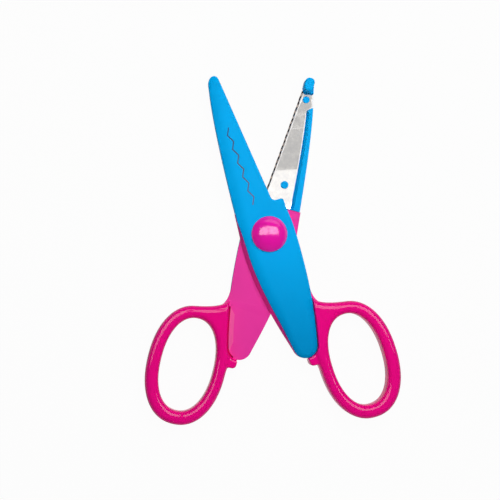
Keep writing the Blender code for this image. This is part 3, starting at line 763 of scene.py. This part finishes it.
def make_cover(half):
    """The leaf, cut to its parting plane, with the arm's place, the tray, the pivot's bore and its studs."""
    cover = drawn(half + "_leaf_cover", [leaf_anchors(half)], -2.0, cover_out, edge_radius, fineness=14)
    crown(cover, half)
    tuck_side(cover)
    wide = 90.0
    work(cover, block("parting", (-wide, -wide, -beyond), (wide, wide, parting_gap)), "DIFFERENCE")
    work(cover, block("arm_room", (-wide, -wide, -beyond), (wide, seam_y + fit, cover_in)), "DIFFERENCE")
    side = blade_side(half, 0.0)
    overrun = 0.6 if half == "back" else 0.0
    outside = 25.0
    room = [(outside, shoulder_y - fit), (outside, blade_top + fit), (side[0].x - overrun, blade_top + fit)]
    room += [(p.x - overrun * soft_step(p.y, lip_y + 0.2, lip_y + 0.9), p.y) for p in side]
    room += [(side[-1].x, shoulder_y - fit)]
    work(cover, drawn("tray", [room], -beyond, cover_in), "DIFFERENCE")
    slope_wall(cover, half)
    work(cover, bar("bore", (0.0, 0.0), rivet_hole, -beyond, beyond), "DIFFERENCE")
    work(cover, bar("recess", (0.0, 0.0), recess_radius, recess_floor, beyond, 96), "DIFFERENCE")
    for spot in peg_spots:
        work(cover, bar("peg", spot, peg_radius, cover_in - peg_reach, stud_root), "UNION")
    for spot, head_radius in zip(stake_spots, stake_heads):
        work(cover, bar("stake", spot, stake_radius, stake_foot, stud_root), "UNION")
        head = bar("stake_head", spot, head_radius, head_low, head_high)
        finish_with(head, "BEVEL", width=head_round, segments=4,
                    limit_method="ANGLE", angle_limit=math.radians(60))
        work(cover, head, "UNION")
        work(cover, bar("stake_dimple", spot, dimple_radius, dimple_low, dimple_high), "DIFFERENCE")
    return cover


def make_post(cover):
    """The raised end of the back cover."""
    low, high = blade_top + fit, blade_top + fit + post_long
    right = edge_x(high) + post_past
    left = right - post_wide
    bow = 0.55 * post_round
    corners = [
        (right, low + post_round, 0.0, -bow, 0.0, 0.3), (right, high - post_round, 0.0, -0.3, 0.0, bow),
        (right - post_round, high, bow, 0.0, -0.1, 0.0), (left + post_round, high, 0.1, 0.0, -bow, 0.0),
        (left, high - post_round, 0.0, bow, 0.0, -0.3), (left, low + post_round, 0.0, 0.3, 0.0, -bow),
        (left + post_round, low, -bow, 0.0, 0.1, 0.0), (right - post_round, low, -0.1, 0.0, bow, 0.0)]
    work(cover, drawn("post", [corners], post_low, post_high, post_rim, rim_steps=5), "UNION")


for half in ("front", "back"):
    cover = make_cover(half)
    if half == "back":
        make_post(cover)
    clear_slivers(cover)
    cover.data.materials.clear()
    cover.data.materials.append(blue)
    cover.data.transform(half_place[half])
    alone(cover)
    bpy.ops.object.shade_smooth_by_angle(angle=math.radians(35))
    finish_with(cover, "WEIGHTED_NORMAL", keep_sharp=True)
    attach(cover, half + "_half")
    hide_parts(half + "_cover")

# The zigzag line stamped in dark foil on the front cover, which shows the cut that the blades make.
# It is a flat strip less than half a millimetre wide, laid on the cover's face, and bluer at its lower end.
zig_pitch = 2.68
zig_reach = 0.68
zig_drift = 0.13
zig_top = (-2.6, 41.4)
zig_turns = 12
half_line = 0.22
foil_thick = 0.02
zigzag = []
for k in range(zig_turns):
    swing = zig_reach if k % 2 == 0 else -zig_reach
    zigzag.append(Vector((zig_top[0] + zig_drift * (k - 5.5) + swing, zig_top[1] - zig_pitch * k)))
left_side, right_side = [], []
for k, here in enumerate(zigzag):
    before = zigzag[max(k - 1, 0)]
    after = zigzag[min(k + 1, len(zigzag) - 1)]
    one = (here - before).normalized() if k else (after - here).normalized()
    two = (after - here).normalized() if k < len(zigzag) - 1 else one
    across = Vector((-(one + two).y, (one + two).x)).normalized()
    width = half_line / max(0.3, across.dot(Vector((-one.y, one.x))))
    left_side.append(here + across * width)
    right_side.append(here - across * width)
outline = [(p.x, p.y) for p in left_side + right_side[::-1]]
mark = drawn("cut_mark", [outline], cover_out - foil_thick, cover_out + foil_thick)
foil, foil_shader = new_finish("dark_foil", (0.05, 0.08, 0.2), 0.35)
foil_shader.inputs["Specular IOR Level"].default_value = 0.04
foil_fade = tint(foil, foil_shader, share_up(foil, 0.011, 0.041),
                 low=(0.10, 0.16, 0.38), high=(0.010, 0.06, 0.20))
foil_fade.elements.new(0.45).color = (0.075, 0.105, 0.17, 1.0)
mark.data.materials.clear()
mark.data.materials.append(foil)
mark.data.transform(half_place["front"])
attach(mark, "front_half")

# The two pivot buttons, pink mouldings that snap into the covers over the rivet's ends. The front one is a
# polished dome, and the back one a flat disc that the scissors lie on.
dome_pink, dome_shader = new_finish("pink_button", (0.90, 0.002, 0.41), 0.16)
dome_shader.inputs["Coat Weight"].default_value = 0.5
dome_shader.inputs["Coat Roughness"].default_value = 0.12
dome_place = object_place(dome_pink)
uneven_gloss(dome_pink, dome_shader, dome_place, scale=240.0, detail=3.0, low=0.12, high=0.22)
grain(dome_pink, dome_shader, dome_place, scale=900.0, height=0.000005)


def turned(name, profile):
    """A profile of radius and height, spun about the pivot."""
    mesh = bpy.data.meshes.new(name)
    mesh.from_pydata([(r, 0.0, z) for r, z in profile], [(k, k + 1) for k in range(len(profile) - 1)], [])
    piece = bpy.data.objects.new(name, mesh)
    bpy.context.collection.objects.link(piece)
    alone(piece)
    bpy.ops.object.mode_set(mode="EDIT")
    bpy.ops.mesh.select_all(action="SELECT")
    bpy.ops.mesh.spin(steps=96, angle=2 * math.pi, center=(0.0, 0.0, 0.0), axis=(0.0, 0.0, 1.0))
    bpy.ops.object.mode_set(mode="OBJECT")
    tidy_mesh(piece)
    return piece


def corner(middle, radius, start, end, steps=6):
    """A rounded corner of a profile, between two angles in degrees."""
    turns = [math.radians(start + (end - start) * k / steps) for k in range(steps + 1)]
    return [(middle[0] + radius * math.cos(turn), middle[1] + radius * math.sin(turn)) for turn in turns]


skirt_radius, skirt, skirt_low = 5.4, 0.8, 3.0
skirt_inside = skirt_radius - skirt
dome_radius, dome_base, dome_rim, dome_rise = 6.5, 4.3, 0.5, 3.0
dome_ceiling = 4.95
dome_steps = 32
sphere = (dome_radius ** 2 + dome_rise ** 2) / (2 * dome_rise)
reach = math.asin(dome_radius / sphere)
dome = []
for k in range(dome_steps + 1):
    angle = 0.985 * reach * k / dome_steps
    dome.append((sphere * math.sin(angle), dome_base + dome_rim + dome_rise - sphere * (1 - math.cos(angle))))
dome += [(dome_radius, dome_base + 0.42), (dome_radius, dome_base + 0.1), (dome_radius - 0.1, dome_base)]
dome += [(skirt_radius, dome_base), (skirt_radius, skirt_low), (skirt_inside, skirt_low),
         (skirt_inside, dome_ceiling), (0.0, dome_ceiling)]
cap_face, cap_ceiling, cap_round = 4.4, 3.85, 0.3
disc = [(0.0, cap_face)] + corner((skirt_radius - cap_round, cap_face - cap_round), cap_round, 90, 0)
disc += [(skirt_radius, skirt_low), (skirt_inside, skirt_low), (skirt_inside, cap_ceiling), (0.0, cap_ceiling)]
for half, profile in (("front", dome), ("back", disc)):
    button = turned(half + "_pivot_button", profile)
    button.data.materials.append(dome_pink)
    button.data.transform(half_place[half])
    alone(button)
    bpy.ops.object.shade_smooth_by_angle(angle=math.radians(35))
    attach(button, half + "_half")
    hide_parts(half + "_pivot_cap")

# The white table that the scissors lie on, and the room round it. Seen straight, in polish or through glass,
# the table is white of itself, with a little left over to take the shadow under the scissors.
table_drop = 0.0003
table_glow = 0.965
bpy.ops.object.select_all(action="DESELECT")
bpy.ops.mesh.primitive_plane_add(size=4.0, location=(0.0, 0.0, -table_drop))
table = bpy.context.object
table.name = "white_table"
white, white_shader = new_finish("white_table", (0.5, 0.5, 0.5), 0.8)
white_shader.inputs["Specular IOR Level"].default_value = 0.0
glow = add_node(white, "ShaderNodeEmission", Strength=1.0)
seen = add_node(white, "ShaderNodeLightPath").outputs
direct = combined(white, "MAXIMUM", seen["Is Camera Ray"], seen["Is Glossy Ray"])
through = combined(white, "MAXIMUM", direct, seen["Is Transmission Ray"])
blend = add_node(white, "ShaderNodeMixShader")
wire(white, combined(white, "MULTIPLY", through, table_glow), blend.inputs["Fac"])
wire(white, white_shader.outputs["BSDF"], blend.inputs[1])
wire(white, glow.outputs["Emission"], blend.inputs[2])
wire(white, blend.outputs["Shader"], white.node_tree.nodes["Material Output"].inputs["Surface"])
table.data.materials.append(white)

room = bpy.data.worlds.new("white_room")
bpy.context.scene.world = room
room.use_nodes = True
room_light = room.node_tree.nodes["Background"]
room_light.inputs["Color"].default_value = (1.0, 1.0, 1.0, 1.0)
room_light.inputs["Strength"].default_value = 0.11

# The studio's soft boxes. A key above the far end and a low fill from the near side light the matt colours.
# Two wide boxes side by side above the far end show in the polish alone, as highlights on loops and dome.
def soft_box(name, place, aim, size, power, only):
    """A soft box that lights either the matt colours or the polish."""
    bpy.ops.object.light_add(type="AREA", location=place)
    lamp = bpy.context.object
    lamp.name = name
    lamp.data.shape = "RECTANGLE"
    lamp.data.size, lamp.data.size_y = size
    lamp.data.energy = power
    lamp.rotation_euler = (Vector(place) - Vector(aim)).to_track_quat("Z", "Y").to_euler()
    lamp.visible_diffuse = only == "colour"
    lamp.visible_glossy = only == "polish"


soft_box("key_box", (0.05, 0.11, 0.30), (0.0, 0.0, 0.0), (0.26, 0.22), 0.96, "colour")
soft_box("fill_box", (-0.02, -0.45, 0.13), (0.0, 0.0, 0.0), (0.3, 0.1), 0.4, "colour")
soft_box("left_box", (-0.20, 0.1305, 0.34), (-0.20, 0.1305, 0.0), (0.34, 0.285), 1.52, "polish")
soft_box("right_box", (0.18, 0.1305, 0.34), (0.18, 0.1305, 0.0), (0.38, 0.285), 1.70, "polish")

# Cards hung over the blade, which only its polish shows: a white one that its lower end and its edges show,
# and three grey ones under it for the upper end, with narrow gaps between them that show as pale lines.
card_height = 16.0
white_level, white_above = 1.16, 0.3
grey_level = 0.62


def card_left(y):
    return 0.398 * y - 6.9


def card_right(y):
    return 0.181 * y + 10.7


white_outline = [(-7.0, 17.0), (7.0, 11.5), (21.0, 11.5), (34.0, 62.0), (2.0, 62.0)]
cards = [("white_card", white_level, white_above, white_outline)]
for name, low, high, wide in (("grey_card_low", 25.1, 40.8, 0.3), ("grey_card_middle", 40.95, 45.75, 0.3),
                              ("grey_card_high", 45.9, 60.0, 1.3)):
    cards.append((name, grey_level, 0.0, [(card_left(low), low), (card_right(low) + wide, low),
                                          (card_right(high) + wide, high), (card_left(high), high)]))
for name, grey, above, outline in cards:
    card = drawn(name, [outline], card_height + above, card_height + above)
    card.data.transform(to_metres)
    card_finish, card_shader = new_finish(name, (0.0, 0.0, 0.0), 1.0)
    card_shader.inputs["Emission Color"].default_value = (grey, grey * 0.985, grey * 0.975, 1.0)
    card_shader.inputs["Emission Strength"].default_value = 1.0
    card.data.materials.clear()
    card.data.materials.append(card_finish)
    card.visible_camera = card.visible_diffuse = card.visible_shadow = card.visible_transmission = False

# The camera, above the table and a little to the left of the pivot, turned as the photograph is.
# Its lens is long, and shifted so that the scissors lie where the photograph has them.
bpy.ops.object.camera_add(location=(-0.05162, -0.02518, 0.5017),
                          rotation=[math.radians(a) for a in (2.3265, -3.1226, -1.733)])
camera = bpy.context.object
camera.data.lens = 98.25
camera.data.shift_x = 0.0928
camera.data.shift_y = 0.0044
camera.data.sensor_width = 36.0
bpy.context.scene.camera = camera
bpy.context.scene.view_settings.view_transform = "Standard"
